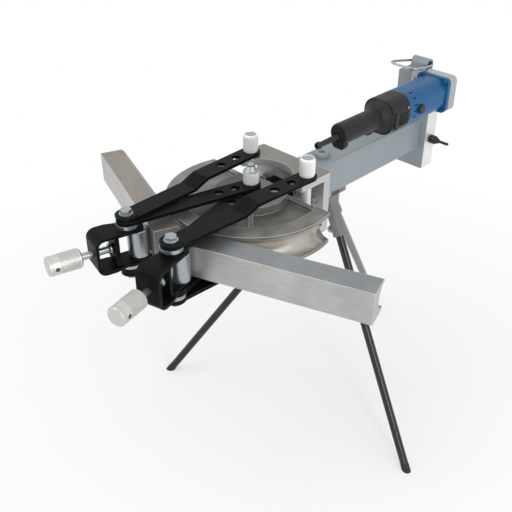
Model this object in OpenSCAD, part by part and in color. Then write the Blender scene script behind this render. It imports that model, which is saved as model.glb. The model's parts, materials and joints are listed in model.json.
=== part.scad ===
// Electric hydraulic tube bender on a tripod.
// The ram lies along X and pushes the bending shoe towards -X. Millimetres, +Z up, floor at z = 0.

/* [Stand] */
// Height of the ram axis above the floor
axis_h = 660; // [560:5:720]
// Distance of each foot from the middle of the tripod
leg_reach = 434; // [340:2:480]
// Turn of the tripod about its middle, in degrees
leg_turn = 14; // [0:1:20]
// Diameter of the leg tubes
leg_d = 21; // [18:1:26]
// Wall of the leg tubes
leg_wall = 2.5; // [1.5:0.5:4]
// Outside diameter of the leg sockets
socket_d = 32; // [30:1:38]
// Length of the leg held inside its socket
socket_grip = 60; // [40:5:80]
// Diameter of the rubber feet
foot_d = 22; // [18:1:30]

/* [Cylinder and pump] */
// Width of the cylinder body
body_w = 80; // [70:1:100]
// Height of the cylinder body
body_h = 91; // [80:1:110]
// Length of the cylinder body
body_l = 446; // [380:2:500]
// Bore of the cylinder
bore_d = 56; // [54:1:62]
// Diameter of the ram rod
rod_d = 46; // [34:1:48]
// Stroke of the ram
stroke = 90; // [60:5:90]
// Thickness of the pump block along the ram
block_t = 46; // [42:1:70]
// Width of the pump block
block_w = 109; // [100:1:120]
// Height of the pump block above the ram axis
block_up = 170; // [160:1:190]
// Depth of the pump block below the ram axis
block_down = 96; // [70:1:110]
// Overhang of the pump block past the near side of the body
block_over = 25; // [15:1:35]

/* [Head] */
// Distance from each head pin to the head's side
head_edge = 19; // [17:1:30]
// Depth of the head along the ram
head_d = 102; // [92:1:130]
// Height of the head
head_h = 150; // [148:1:170]
// Thickness of the head's plates
head_plate = 16; // [10:1:18]
// Thickness of the head's back wall
head_wall = 24; // [18:1:28]
// Thickness of the back plate behind the head
back_t = 14; // [12:1:20]
// Distance between the two head pins
pin_span = 182; // [174:1:190]
// Distance of the head pins from the head's back face
pin_back = 64; // [60:1:70]

/* [Shoe and bars] */
// Outside radius of the bending shoe
shoe_r = 198; // [180:1:210]
// Height of the bending shoe
shoe_h = 76; // [70:1:80]
// Outside diameter of the tube that the tools take
tube_d = 60.3; // [48.3:0.1:61]
// Distance of the shoe pin in front of the head pins
shoe_lead = 89; // [86:1:110]
// Length of the follow bars
bar_l = 420; // [360:5:460]
// Height of the follow bars
bar_h = 75; // [70:1:80]
// Thickness of the follow bars
bar_t = 60; // [52:1:64]
// Angle of each follow bar from square to the ram
bar_swing = 20; // [18:0.5:22]

/* [Arms and rollers] */
// Distance of the clevis bolts behind the rollers' middle
bolt_behind = 21; // [18:1:30]
// Angle of the inner arms from the ram axis
arm_swing = 14; // [13:0.5:16]
// Width of the arms
arm_w = 46; // [44:1:54]
// Thickness of the arms
arm_t = 8; // [6:0.5:10]
// Distance between the three pin holes of an inner arm
inner_pitch = 42; // [34:1:44]
// Distance between the three pin holes of an outer arm
outer_pitch = 51; // [40:1:54]
// Diameter of the pins' shanks
pin_d = 23; // [20:0.5:26]
// Diameter of the knurled pin heads
pin_head_d = 35; // [32:1:40]
// Height of the knurled pin heads
pin_head_h = 44; // [30:1:50]
// Diameter of the clevis bolts
bolt_d = 16; // [12:1:18]
// Height of the clevis over its flanges
clevis_h = 90; // [88:1:96]
// Length of the clevis behind its bolt
clevis_l = 84; // [80:1:100]
// Width of the clevis strap
clevis_w = 58; // [56:1:64]
// Thickness of the clevis strap
strap_t = 7; // [5:0.5:8]
// Diameter of the rollers
roller_d = 47; // [40:1:50]
// Diameter of the pressure screws
screw_d = 16; // [12:1:20]
// Diameter of the screw knobs
knob_d = 43; // [36:1:50]
// Length of the screw knobs
knob_l = 72; // [60:1:90]
// Diameter of the cross hole for a tommy bar
tommy_d = 10; // [8:1:14]

/* [Motor] */
// Width of the motor housing
motor_d = 88; // [84:1:92]
// Length of the motor housing
motor_l = 154; // [146:1:170]
// Width of the square motor flange
flange_w = 96; // [92:1:104]
// Diameter of the grip
grip_d = 52; // [46:1:56]
// Length of the grip
grip_l = 136; // [120:1:160]
// Distance of the motor axis from the pump block's side
motor_out = 23; // [20:1:30]
// Height of the motor axis above the ram axis
motor_up = 147; // [140:1:155]

/* [Hidden] */
$fn = 64;

// Clearances: a close fit, a running fit on a radius, and the air between faces that pass each other
close = 0.02;
run = 0.05;
air = 0.2;
// A cut runs this far past the face that it opens
past = 1;

// Places along the ram, measured from the head's back face
pin_x = -pin_back;
shoe_x = pin_x - shoe_lead;
shoe_back_x = shoe_x + 58;
body_x = back_t;
block_x = back_t + body_l;
block_end_x = block_x + block_t;
pin_y = pin_span / 2;
head_w = pin_span + 2 * head_edge;
block_near_y = -body_w / 2 - block_over;
block_mid_y = block_near_y + block_w / 2;

// Levels of the arms, from the ram axis up
hub_z = clevis_h / 2;
low_arm_z = hub_z + air;
mid_arm_z = low_arm_z + arm_t + air;
top_arm_z = mid_arm_z + arm_t + air;
head_arm_z = head_h / 2 + air;

// Bars and rollers, from the shoe pin outwards
groove_r = tube_d / 2 + 0.5;
bar_in = shoe_r + 1;
bar_out = bar_in + bar_t;
bar_tilt = bar_swing - arm_swing;
roller_gap = 0.6;
roller_x = (bar_out + roller_d / 2 + roller_gap) / cos(bar_tilt);

// The clevis bolt, from the shoe pin along the inner arm, and the outer arm that reaches it
inner_l = roller_x + bolt_behind;
bolt_x = shoe_x - inner_l * cos(arm_swing);
bolt_y = inner_l * sin(arm_swing);
outer_l = norm([bolt_x - pin_x, bolt_y - pin_y]);
outer_angle = atan2(bolt_y - pin_y, bolt_x - pin_x);
// The outer arm's bolt hole is wide, because the linkage is opened there
open_slack = 8.5;
open_hole_d = bolt_d + 2 * open_slack;

// How far each bar reaches past the roller's line towards the middle
bar_in_left = 70;
bar_in_right = 40;

// Yoke and screw along the inner arm's line
yoke_t = 5;
yoke_w = 44;
yoke_h = clevis_h - 2 * strap_t - 2 * air;
yoke_gap = yoke_h - 2 * yoke_t;
yoke_wall = 12;
yoke_front = roller_x - 14;
yoke_back = roller_x + roller_d / 2 + 37;
roller_h = yoke_gap - 2 * air;
roller_pin_d = 12;
clevis_end = inner_l + clevis_l;
screw_show = 26;
knob_x = clevis_end + screw_show;
knob_end = knob_x + knob_l;
knob_bevel = 2.5;

// Motor axis and lengths along the ram
motor_y = block_near_y - motor_out;
gear_case_l = 28;
flange_t = 12;
rear_l = 86;
gear_x = block_x - gear_case_l;
motor_x = gear_x - flange_t - motor_l;
grip_x = motor_x - rear_l - grip_l;
shell_t = 4;
bearing_d = 32;
bearing_w = 12;
shaft_d = 12;

// Gears between the motor and the eccentric shaft, which turns inside the pump block
gear_module = 1.2667;
pinion_teeth = 24;
wheel_teeth = 36;
gear_distance = gear_module * (pinion_teeth + wheel_teeth) / 2;
eccentric_y = motor_y + gear_distance;
cam_throw = 3;
cam_d = 16;
cam_room_d = cam_d + 2 * cam_throw + 1;
plunger_d = 12;

// Gear case on the pump block's front
case_near_y = motor_y - flange_w / 2;
case_far_y = eccentric_y + 34;
case_h = 92;
case_top_z = motor_up + case_h / 2;
case_wall = 8;
case_screw_d = 8;
case_screw_y = case_far_y - 7;
case_screw_z = [motor_up - 38, motor_up + 16];
case_screw_deep = 18;

// Tripod
apex = [100, -14, -36];
leg_drop = axis_h + apex.z;
leg_lean = atan2(leg_reach, leg_drop);
leg_run = leg_drop / cos(leg_lean);
leg_start = 72;
leg_angles = [leg_turn + 120, leg_turn - 120, leg_turn];
// Length of the foot below the leg, and of its plug inside the leg
foot_l = 16;
plug_l = 25;
bore_in_leg = leg_d - 2 * leg_wall;

// Middle of the object's outline on the floor, which becomes the origin
x_low = shoe_x - knob_end * cos(arm_swing) - (knob_d / 2 - knob_bevel) * sin(arm_swing);
foot_half_x = norm([foot_d / 2 / cos(leg_lean) * cos(leg_turn), foot_d / 2 * sin(leg_turn)]);
x_high = apex.x + leg_reach * cos(leg_turn) + foot_half_x;
y_high = bar_out * sin(bar_swing) + (bar_l - bar_in_left) * cos(bar_swing);
y_low = -bar_out * sin(bar_swing) - (bar_l - bar_in_right) * cos(bar_swing);
x_mid = (x_low + x_high) / 2;
y_mid = (y_low + y_high) / 2;

// Colours as the photo shows them
paint_grey = [0.58, 0.62, 0.63];
black_steel = [0.11, 0.12, 0.13];
bare_alloy = [0.74, 0.74, 0.72];
cast_grey = [0.45, 0.45, 0.44];
zinc = [0.78, 0.80, 0.82];
bright_steel = [0.85, 0.85, 0.85];
motor_blue = [0.22, 0.45, 0.66];
black_plastic = [0.16, 0.16, 0.18];
rubber_black = [0.08, 0.08, 0.08];
brass = [0.72, 0.58, 0.30];
copper = [0.72, 0.42, 0.25];

// Helpers

// Puts a piece from the ram's frame into the object's frame on the floor
module placed() translate([-x_mid, -y_mid, axis_h]) children();

// Turns a piece made along Z so that it runs along +X
module along_x() rotate([0, 90, 0]) children();

// Turns a piece made along Z so that it runs along +Y
module along_y() rotate([-90, 0, 0]) children();

// Mirrors the left side's piece for the right side: side is 1 on the left and -1 on the right
module sided(side) mirror([0, side < 0 ? 1 : 0, 0]) children();

// Frame of a wing: x runs from the shoe pin out along the inner arm
module wing(side) sided(side) translate([shoe_x, 0, 0]) rotate([0, 0, 180 - arm_swing]) children();

// Frame of a follow bar: x runs square to the bar, away from the shoe
module bar_frame(side) sided(side) translate([shoe_x, 0, 0]) rotate([0, 0, 180 - bar_swing]) children();

// Frame of an outer arm: x runs from the head pin to the clevis bolt
module outer_frame(side) sided(side) translate([pin_x, pin_y, 0]) rotate([0, 0, outer_angle]) children();

// Above and below the ram axis
module both_levels() {
    children();
    mirror([0, 0, 1]) children();
}

function arc(c, r, a0, a1, n = 8) =
    [for (i = [0:n]) let (a = a0 + (a1 - a0) * i / n) c + r * [cos(a), sin(a)]];

// A rectangle with round corners, from its low corner to its high corner
function round_rect(lo, hi, r) = concat(
    arc([hi.x - r, hi.y - r], r, 0, 90), arc([lo.x + r, hi.y - r], r, 90, 180),
    arc([lo.x + r, lo.y + r], r, 180, 270), arc([hi.x - r, lo.y + r], r, 270, 360));

// A block with round edges along X
module x_block(x0, x1, lo, hi, r) translate([x0, 0, 0]) rotate([90, 0, 90])
    linear_extrude(x1 - x0) polygon(round_rect(lo, hi, r));

// A plate with round corners, standing from z0 to z1
module z_block(lo, hi, z0, z1, r) translate([0, 0, z0])
    linear_extrude(z1 - z0) polygon(round_rect(lo, hi, r));

// A turned solid from its outline of [radius, height] points
module turned(outline) rotate_extrude() polygon(outline);

// A cylinder with chamfered ends
module bevelled(d, h, c) turned([[0, 0], [d / 2 - c, 0], [d / 2, c], [d / 2, h - c], [d / 2 - c, h], [0, h]]);

// A hexagon head or nut, measured across its flats
module hexagon(flats, h) rotate([0, 0, 30]) cylinder(d = flats / cos(30), h = h, $fn = 6);

// Cylinder, head and ram

module cylinder_body() placed() color(paint_grey) difference() {
    x_block(body_x, block_x, [-body_w / 2, -body_h / 2], [body_w / 2, body_h / 2], 4);
    translate([body_x - past, 0, 0]) along_x() cylinder(d = bore_d, h = body_l - 26 + past);
    translate([filler_x, filler_y, body_h / 2 - filler_deep]) cylinder(d = filler_d, h = filler_deep + past);
    for (p = block_bolt_places) translate([block_x - block_bolt_deep, p.x, p.y]) along_x()
        cylinder(d = block_bolt_d, h = block_bolt_deep + past);
}

// Place and size of the filler plug on top of the body
filler_x = 95;
filler_y = 0;
filler_d = 20;
filler_deep = 9;
filler_head_d = 37;

module filler_plug() placed() translate([filler_x, filler_y, body_h / 2]) {
    color(paint_grey) difference() {
        union() {
            bevelled(filler_head_d, 12, 2);
            translate([0, 0, -filler_deep]) cylinder(d = filler_d - 2 * close, h = filler_deep + past);
        }
        translate([0, 0, 12 - 5]) cylinder(d = 17, h = 5 + past);
    }
}

// The head bolts stand level with the ram, in from the head pins
head_bolt_in = 11;
head_bolt_y = pin_y - head_bolt_in;
head_bolt_d = 16;
head_bolt_h = 12;
head_bolt_flats = 24;
socket_flats = 14;
socket_deep = 7;
// The back plate stands in from the head's sides and top, and hangs below it
back_in = 15;
back_drop = 25;
// The round bay in the front of the head's plates, and its middle in front of them
bay_r = pin_y - 11;
bay_lead = 0.3 * bay_r;

module back_plate() placed() color(paint_grey) difference() {
    x_block(0, back_t, [-head_w / 2 + back_in, -head_h / 2 - back_drop],
        [head_w / 2 - back_in, head_h / 2 - back_in], 12);
    translate([-past, 0, 0]) along_x() cylinder(d = rod_d + 2, h = back_t + 2 * past);
    for (s = [-1, 1]) translate([-past, s * head_bolt_y, 0]) along_x()
        cylinder(d = head_bolt_d, h = back_t + 2 * past);
}

module bending_head() placed() color(bare_alloy) difference() {
    z_block([-head_d, -head_w / 2], [0, head_w / 2], -head_h / 2, head_h / 2, 6);
    // The mouth between the two plates
    translate([-head_d - past, -head_w / 2 - past, -head_h / 2 + head_plate])
        cube([head_d - head_wall + past, head_w + 2 * past, head_h - 2 * head_plate]);
    translate([-head_d - bay_lead, 0, -head_h]) cylinder(r = bay_r, h = 2 * head_h);
    for (s = [-1, 1]) {
        translate([pin_x, s * pin_y, -head_h]) cylinder(d = pin_d + 2 * run, h = 2 * head_h);
        translate([-head_wall - past, s * head_bolt_y, 0]) along_x()
            cylinder(d = head_bolt_d, h = head_wall + 2 * past);
    }
    translate([-head_wall - past, 0, 0]) along_x() cylinder(d = rod_d + 2, h = head_wall + 2 * past);
}

module head_bolts() placed() color(zinc) for (s = [-1, 1]) translate([0, s * head_bolt_y, 0]) {
    translate([-head_wall, 0, 0]) rotate([0, -90, 0]) difference() {
        bevelled(head_bolt_flats, head_bolt_h, 1);
        translate([0, 0, head_bolt_h - socket_deep]) hexagon(socket_flats, head_bolt_h);
    }
    translate([-head_wall - past, 0, 0]) along_x()
        cylinder(d = head_bolt_d - 2 * close, h = head_wall + back_t + 14 + past);
    translate([back_t, 0, 0]) along_x() hexagon(head_bolt_flats, 12);
}

gland_l = 25;

module rod_gland() placed() color(brass) translate([body_x, 0, 0]) along_x() difference() {
    cylinder(d = bore_d - 2 * close, h = gland_l);
    translate([0, 0, -past]) cylinder(d = rod_d + 2 * run, h = gland_l + 2 * past);
}

// Piston at the back of the bore, the rod, and the pusher block on the rod's nose
piston_l = 35;
piston_x = body_x + gland_l + stroke + 61;
seal_w = 6;
pusher_l = 50;
pusher_w = 66;
rod_nose_x = shoe_back_x + 35;

module ram_rod() placed() color(bright_steel) translate([rod_nose_x, 0, 0]) along_x()
    bevelled(rod_d, piston_x - rod_nose_x, 1.5);

module piston() placed() color(bright_steel) translate([piston_x, 0, 0]) along_x() turned([
    [0, 0], [bore_d / 2 - run, 0], [bore_d / 2 - run, piston_l / 2 - seal_w / 2],
    [bore_d / 2 - 4, piston_l / 2 - seal_w / 2], [bore_d / 2 - 4, piston_l / 2 + seal_w / 2],
    [bore_d / 2 - run, piston_l / 2 + seal_w / 2], [bore_d / 2 - run, piston_l], [0, piston_l]]);

module piston_seal() placed() color(rubber_black)
    translate([piston_x + piston_l / 2 - seal_w / 2, 0, 0]) along_x() difference() {
        cylinder(d = bore_d - 2 * run, h = seal_w);
        translate([0, 0, -past]) cylinder(d = bore_d - 8, h = seal_w + 2 * past);
    }

module pusher_block() placed() color(black_steel) difference() {
    x_block(shoe_back_x, shoe_back_x + pusher_l,
        [-pusher_w / 2, -pusher_w / 2], [pusher_w / 2, pusher_w / 2], 6);
    translate([rod_nose_x, 0, 0]) along_x() cylinder(d = rod_d + 2 * close, h = pusher_l);
}

// Bending shoe: a grooved rim on a ribbed web, with a raised hub for its pin
shoe_rim_in = shoe_r - 40;
shoe_web = 50;
shoe_hub_r = 85;
rib_t = 10;
rib_h = 68;
rib_angles = [135, 180, 225];

module bending_shoe() placed() color(cast_grey) translate([shoe_x, 0, 0]) difference() {
    union() {
        rotate_extrude($fn = 128) difference() {
            translate([shoe_rim_in, -shoe_h / 2]) square([shoe_r - shoe_rim_in, shoe_h]);
            translate([bar_in, 0]) circle(r = groove_r);
        }
        translate([0, 0, -shoe_web / 2]) cylinder(r = shoe_rim_in + past, h = shoe_web);
        translate([0, 0, -hub_z]) cylinder(r = shoe_hub_r, h = 2 * hub_z);
        for (a = rib_angles) rotate([0, 0, a]) translate([shoe_hub_r - 4, -rib_t / 2, -rib_h / 2])
            cube([shoe_rim_in - shoe_hub_r + 5, rib_t, rib_h]);
        // The seat that the pusher bears on
        translate([0, -pusher_w / 2 - 6, -shoe_h / 2]) cube([shoe_back_x - shoe_x, pusher_w + 12, shoe_h]);
        translate([shoe_back_x - shoe_x - 12, -shoe_rim_in, -rib_h / 2]) cube([12, 2 * shoe_rim_in, rib_h]);
    }
    translate([shoe_back_x - shoe_x, -2 * shoe_r, -shoe_h]) cube([2 * shoe_r, 4 * shoe_r, 2 * shoe_h]);
    translate([0, 0, -hub_z - past]) cylinder(d = pin_d + 2 * run, h = 2 * hub_z + 2 * past);
}

// A quick-release pin: its head stands on the top arm, its shank ends below the bottom arm
pin_tail = 10;
cap_d = 16;

module quick_pin(seat_z, head_h) turned(concat(
    [[0, -seat_z - pin_tail], [pin_d / 2 - 3, -seat_z - pin_tail], [pin_d / 2, -seat_z - pin_tail + 3],
     [pin_d / 2, seat_z], [pin_head_d / 2 - 1, seat_z], [pin_head_d / 2, seat_z + 1],
     [pin_head_d / 2, seat_z + head_h - 2], [pin_head_d / 2 - 2, seat_z + head_h]],
    [[pin_head_d / 2 - 4, seat_z + head_h], [pin_head_d / 2 - 4.5, seat_z + head_h - 1.5],
     [0, seat_z + head_h - 1.5]]));

shoe_pin_h = 36;
cone_h = 11;
cap_h = 5;

module shoe_pin() placed() color(bright_steel) translate([shoe_x, 0, 0]) {
    quick_pin(mid_arm_z + arm_t, shoe_pin_h);
    // A cone on the head, with a short round end
    translate([0, 0, mid_arm_z + arm_t + shoe_pin_h - 2]) turned([[0, 0], [pin_head_d / 2 - 2, 0],
        [cap_d / 2, cone_h], [cap_d / 2, cone_h + cap_h - 1], [cap_d / 2 - 1, cone_h + cap_h],
        [0, cone_h + cap_h]]);
}

module head_pin(side) placed() color(bright_steel) translate([pin_x, side * pin_y, 0])
    quick_pin(head_arm_z + arm_t, pin_head_h);
module head_pin_left() head_pin(1);
module head_pin_right() head_pin(-1);

// Arms

// Flat outline of an arm from its end hole at x = 0 to its bolt hole at x = l
module arm_outline(l) {
    circle(d = arm_w);
    translate([l, 0]) circle(d = arm_w);
    translate([0, -arm_w / 2]) square([l, arm_w]);
}

// Three pin holes at the near end and one bolt hole at the far end
module arm_holes(l, pitch, far_d) {
    for (i = [0:2]) translate([i * pitch, 0, 0]) cylinder(d = pin_d + 2 * run, h = 2 * head_h, center = true);
    translate([l, 0, 0]) cylinder(d = far_d, h = 2 * head_h, center = true);
}

joggle_from = 165;
joggle_to = 205;

// Side view of an outer arm, which steps down from the head's top to the clevis
module joggle_side(l) {
    z0 = head_arm_z;
    z1 = top_arm_z;
    polygon([[-arm_w, z0], [joggle_from, z0], [joggle_to, z1], [l + arm_w, z1],
        [l + arm_w, z1 + arm_t], [joggle_to + 3, z1 + arm_t], [joggle_from + 3, z0 + arm_t],
        [-arm_w, z0 + arm_t]]);
}

module outer_arms(side) placed() color(black_steel) outer_frame(side) both_levels() difference() {
    intersection() {
        linear_extrude(head_h) arm_outline(outer_l);
        translate([0, arm_w, 0]) rotate([90, 0, 0]) linear_extrude(2 * arm_w) joggle_side(outer_l);
    }
    arm_holes(outer_l, outer_pitch, open_hole_d);
}
module outer_arms_left() outer_arms(1);
module outer_arms_right() outer_arms(-1);

// The lower inner arm carries a rest that the follow bar lies on
rest_in = 9;
rest_w = 36;

module inner_arms(side, level) placed() color(black_steel) wing(side) {
    both_levels() difference() {
        translate([0, 0, level]) linear_extrude(arm_t) arm_outline(inner_l);
        arm_holes(inner_l, inner_pitch, bolt_d + 2 * run);
    }
    translate([bar_in + rest_in, -rest_w / 2, -level - past])
        cube([bar_t - 2 * rest_in, rest_w, level + past - bar_h / 2 - air]);
}
module inner_arms_left() inner_arms(1, mid_arm_z);
module inner_arms_right() inner_arms(-1, low_arm_z);

// Clevises, yokes, rollers and pressure screws

bend_r = 20;
ear_r = 26;

// Side view of a strap bent into a U that opens towards -x
module strap_side(front, back, h, t, r) difference() {
    polygon(concat([[front, -h / 2]], arc([back - r, -h / 2 + r], r, -90, 0),
        arc([back - r, h / 2 - r], r, 0, 90), [[front, h / 2]]));
    polygon(concat([[front - past, -h / 2 + t]], arc([back - r, -h / 2 + r], r - t, -90, 0),
        arc([back - r, h / 2 - r], r - t, 0, 90), [[front - past, h / 2 - t]]));
}

// Plan view of the clevis: a wide back that draws in to a round ear about the bolt
module clevis_plan() {
    translate([inner_l, 0]) circle(r = ear_r);
    neck = inner_l + 16;
    wide = inner_l + 44;
    half = clevis_w / 2;
    polygon([[inner_l, -ear_r + 4], [neck, -ear_r + 4], [wide, -half], [clevis_end + past, -half],
        [clevis_end + past, half], [wide, half], [neck, ear_r - 4], [inner_l, ear_r - 4]]);
}

module clevis(side) placed() color(black_steel) wing(side) difference() {
    intersection() {
        translate([0, clevis_w, 0]) rotate([90, 0, 0]) linear_extrude(2 * clevis_w)
            strap_side(inner_l - ear_r, clevis_end, clevis_h, strap_t, bend_r);
        linear_extrude(2 * clevis_h, center = true) clevis_plan();
    }
    translate([inner_l, 0, 0]) cylinder(d = bolt_d, h = 2 * clevis_h, center = true);
    translate([clevis_end - 2 * strap_t, 0, 0]) along_x() cylinder(d = screw_d + 2 * run, h = 4 * strap_t);
}
module clevis_left() clevis(1);
module clevis_right() clevis(-1);

washer_t = 3;
washer_d = 48;
spacer_d = 49;
bolt_flats = 22;
bolt_head_h = 9;
bolt_collar_d = 30;
bolt_collar_t = 2.5;
bolt_seat_z = top_arm_z + arm_t + air;
bolt_head_z = bolt_seat_z + washer_t;

// A ring about the clevis bolt
module ring(d, z, h) translate([0, 0, z]) difference() {
    cylinder(d = d, h = h);
    translate([0, 0, -past]) cylinder(d = bolt_d + 2 * run, h = h + 2 * past);
}

// Each bolt has a collar under its head. A loose spacer takes the level of the other side's inner arm.
module clevis_bolts(side, level) placed() color(zinc) wing(side) both_levels() translate([inner_l, 0, 0]) {
    translate([0, 0, clevis_h / 2 - strap_t])
        cylinder(d = bolt_d - 2 * close, h = bolt_head_z - clevis_h / 2 + strap_t + past);
    translate([0, 0, bolt_head_z]) cylinder(d = bolt_collar_d, h = bolt_collar_t);
    translate([0, 0, bolt_head_z + bolt_collar_t]) hexagon(bolt_flats, bolt_head_h);
    ring(spacer_d, level - air / 2, arm_t + air);
}
module clevis_bolts_left() clevis_bolts(1, low_arm_z);
module clevis_bolts_right() clevis_bolts(-1, mid_arm_z);

// The wide washer that covers the outer arm's open hole
module bolt_washers(side) placed() color(black_steel) wing(side) both_levels() translate([inner_l, 0, 0])
    ring(washer_d, bolt_seat_z, washer_t);
module bolt_washers_left() bolt_washers(1);
module bolt_washers_right() bolt_washers(-1);

module yoke(side) placed() color(black_steel) wing(side) difference() {
    union() {
        intersection() {
            translate([0, yoke_w, 0]) rotate([90, 0, 0]) linear_extrude(2 * yoke_w)
                strap_side(yoke_front - 30, yoke_back, yoke_h, yoke_t, 9);
            union() {
                translate([roller_x, -yoke_w / 2, -yoke_h]) cube([yoke_back, yoke_w, 2 * yoke_h]);
                translate([roller_x, 0, -yoke_h]) cylinder(r = roller_x - yoke_front, h = 2 * yoke_h);
            }
        }
        translate([yoke_back - yoke_wall, -yoke_w / 2 + 6, -yoke_h / 2 + 9])
            cube([yoke_wall, yoke_w - 12, yoke_h - 18]);
    }
    translate([roller_x, 0, 0]) cylinder(d = roller_pin_d, h = 2 * yoke_h, center = true);
    translate([yoke_back - screw_seat, 0, 0]) along_x() cylinder(d = screw_d + 2 * run, h = 2 * yoke_wall);
}
module yoke_left() yoke(1);
module yoke_right() yoke(-1);

module roller_pin(side) placed() color(zinc) wing(side) translate([roller_x, 0, -yoke_h / 2])
    cylinder(d = roller_pin_d - 2 * close, h = yoke_h);
module roller_pin_left() roller_pin(1);
module roller_pin_right() roller_pin(-1);

module roller(side) placed() color(zinc) wing(side) translate([roller_x, 0, -roller_h / 2]) difference() {
    bevelled(roller_d, roller_h, 1.5);
    translate([0, 0, -past]) cylinder(d = roller_pin_d + 2 * run, h = roller_h + 2 * past);
}
module roller_left() roller(1);
module roller_right() roller(-1);

screw_seat = 8;
knob_deep = 40;
tommy_in = 17;
tommy_x = knob_end - tommy_in;
// The collar by which the screw pushes the yoke
screw_collar_d = 26;
screw_collar_l = 9;

module screw(side) placed() color(zinc) wing(side) {
    translate([yoke_back - screw_seat + air, 0, 0]) along_x()
        bevelled(screw_d, knob_x + knob_deep - yoke_back + screw_seat - air, 1.5);
    translate([yoke_back + air, 0, 0]) along_x() bevelled(screw_collar_d, screw_collar_l, 2.5);
}
module screw_left() screw(1);
module screw_right() screw(-1);

module knob(side) placed() color(bright_steel) wing(side) difference() {
    translate([knob_x, 0, 0]) along_x() bevelled(knob_d, knob_l, knob_bevel);
    translate([knob_x - past, 0, 0]) along_x() cylinder(d = screw_d + 2 * close, h = knob_deep + past);
    translate([tommy_x, 0, 0]) rotate([90, 0, 0]) cylinder(d = tommy_d, h = 2 * knob_d, center = true);
}
module knob_left() knob(1);
module knob_right() knob(-1);

// Follow bars, with the half-round groove for the tube on the shoe's side and a rebate along its top edge
rebate_deep = 3;
rebate_w = 5;

module follow_bar(side, inward) placed() color(bare_alloy) bar_frame(side)
    translate([0, inward, 0]) rotate([90, 0, 0]) linear_extrude(bar_l) difference() {
        translate([bar_in, -bar_h / 2]) square([bar_t, bar_h]);
        translate([bar_in, 0]) circle(r = groove_r);
        translate([bar_in - past, bar_h / 2 - rebate_deep]) square([rebate_w + past, rebate_deep + past]);
    }
module follow_bar_left() follow_bar(1, bar_in_left);
module follow_bar_right() follow_bar(-1, bar_in_right);

// Pump block, bail and release valve

valve_z = -10;
valve_x = block_x + block_t / 2;
valve_d = 12;
valve_deep = 22;
valve_gap = 3;
valve_knob_r = 12;
valve_knob_l = 18;
valve_stem_r = 4;
valve_l = 60;
cam_mid_x = block_x + block_t / 2;
cam_room_l = 34;
plunger_top = motor_up - cam_d / 2 - cam_throw - air;
plunger_l = 60;
block_bolt_d = 10;
block_bolt_y = 26;
block_bolt_z = 33;
block_bolt_deep = 24;
block_bolt_places = [for (s = [-1, 1], t = [-1, 1]) [s * block_bolt_y, t * block_bolt_z]];

module pump_block() placed() color(paint_grey) difference() {
    x_block(block_x, block_end_x, [block_near_y, -block_down], [block_near_y + block_w, block_up], 5);
    translate([valve_x, block_near_y - past, valve_z]) along_y()
        cylinder(d = valve_d + 2 * run, h = valve_deep + past);
    // The room that the eccentric turns in, its shaft's end seat, and the plunger's bore below
    translate([block_x - past, eccentric_y, motor_up]) along_x()
        cylinder(d = cam_room_d, h = cam_room_l + past);
    translate([block_x, eccentric_y, motor_up]) along_x() cylinder(d = shaft_d + 2 * run, h = block_t - 4);
    translate([cam_mid_x, eccentric_y, plunger_top - plunger_l - 4])
        cylinder(d = plunger_d + 2 * run, h = plunger_l + 4 + cam_d / 2);
    for (p = block_bolt_places) translate([block_x - past, p.x, p.y]) along_x()
        cylinder(d = block_bolt_d, h = block_t + 2 * past);
    for (z = case_screw_z) translate([block_x - past, case_screw_y, z]) along_x()
        cylinder(d = case_screw_d, h = case_screw_deep + past);
}

// Four bolts run through the block into the body's back
module block_bolts() placed() color(zinc) for (p = block_bolt_places) translate([block_end_x, p.x, p.y]) {
    along_x() bevelled(16, 10, 1);
    translate([-block_t - block_bolt_deep, 0, 0]) along_x()
        cylinder(d = block_bolt_d - 2 * close, h = block_t + block_bolt_deep + past);
}

lug_w = 50;
lug_t = 30;
bail_d = 6;
bail_x = block_x + block_t / 2;
bail_z = block_up + 23;
bail_y = block_mid_y;
bail_reach = 95;
bail_half = lug_w / 2 + 6;
bail_spread = 50;
bail_hold = 10;
rest_gap = 0.3;
// The bail lies on the gear case's top edge and rises from there
bail_rest_x = bail_x - block_x;
bail_rest_z = case_top_z - bail_z;
bail_rise = asin((bail_d / 2 + rest_gap) / norm([bail_rest_x, bail_rest_z]))
    + atan2(bail_rest_z, bail_rest_x);

module bail_lug() placed() color(paint_grey) difference() {
    translate([bail_x, bail_y - lug_w / 2, 0]) along_y() linear_extrude(lug_w) {
        translate([0, -bail_z]) circle(d = lug_t);
        translate([-lug_t / 2, -bail_z]) square([lug_t, bail_z - block_up]);
    }
    for (s = [-1, 1]) translate([bail_x, bail_y + s * (lug_w - bail_hold) / 2, bail_z]) along_y()
        cylinder(d = bail_d + 2 * run, h = bail_hold + 2 * past, center = true);
}

pivot_bend_r = 6;
front_bend_r = 26;
bail_splay = atan2(bail_spread - bail_half, bail_reach);
pivot_cut = pivot_bend_r * tan(45 - bail_splay / 2);
front_cut = front_bend_r * tan(45 + bail_splay / 2);
pivot_start = lug_w / 2 - bail_hold + 2;

// Middle line of half the bail in its own plane, from its end in the lug round to its front
bail_line_half = concat([[0, pivot_start]],
    arc([-pivot_bend_r, bail_half - pivot_cut], pivot_bend_r, 0, 90 - bail_splay, 6),
    arc([-bail_reach + front_bend_r, bail_spread - front_cut], front_bend_r, 90 - bail_splay, 180, 10));
bail_line = concat(bail_line_half, [for (i = [len(bail_line_half) - 1:-1:0])
    [bail_line_half[i].x, -bail_line_half[i].y]]);

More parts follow.
